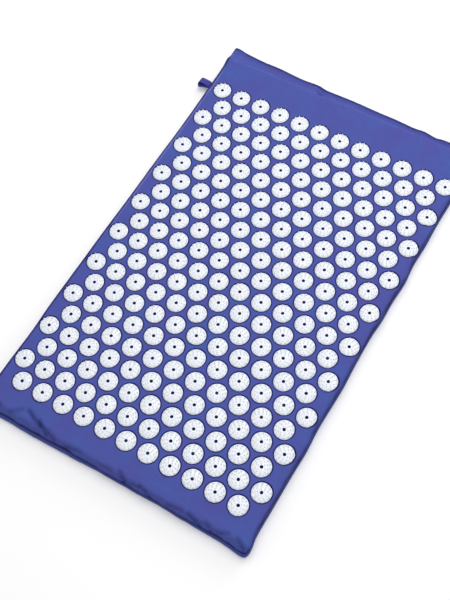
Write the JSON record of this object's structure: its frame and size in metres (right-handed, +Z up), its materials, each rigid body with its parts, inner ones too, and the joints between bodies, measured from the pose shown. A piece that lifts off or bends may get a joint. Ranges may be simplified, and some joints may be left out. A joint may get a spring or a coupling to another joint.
{
  "type": "acupressure mat",
  "caption": "Rectangular foam mat in a sewn cotton cover studded with spiked plastic discs, with a closing end that opens on hook and loop tape and a hanging loop.",
  "frame": {"origin": "on the floor under the middle of the foam pad, in the plane of the cover's flat underside", "axes": "+Y along the mat to its closing end, +X across it to the side without the hanging loop, +Z up through the discs"},
  "size_m": [0.4418, 0.6943, 0.0285],
  "materials": {
    "cover_cotton": "plain-woven cotton canvas, violet blue, matt",
    "disc_plastic": "moulded ABS, white, satin",
    "foam": "open-cell polyurethane foam, cream, cut faces",
    "hook_tape": "woven nylon tape with hooks, violet blue",
    "pile_tape": "woven nylon tape with looped pile, violet blue",
    "ribbon": "folded cotton strip, violet blue, matt"
  },
  "bodies": {
    "mat": {"top_panel": "cover_cotton", "bottom_panel": "cover_cotton", "foam_pad": "foam", "hook_tape": "hook_tape"},
    "flap": {"closure_flap": "cover_cotton", "loop_tape": "pile_tape"},
    "loop": {"hanging_loop": "ribbon"}
  },
  "joints": [
    {"name": "closure_flap_hinge", "type": "hinge", "parent": "mat", "child": "flap", "pos_m": [0, 0.3263, 0.0222], "axis": [1, 0, 0], "range_deg": [0, 150]},
    {"name": "hanging_loop_hinge", "type": "hinge", "parent": "mat", "child": "loop", "pos_m": [-0.21035, 0.2735, 0.011], "axis": [0, 1, 0], "range_deg": [-25, 75]}
  ]
}
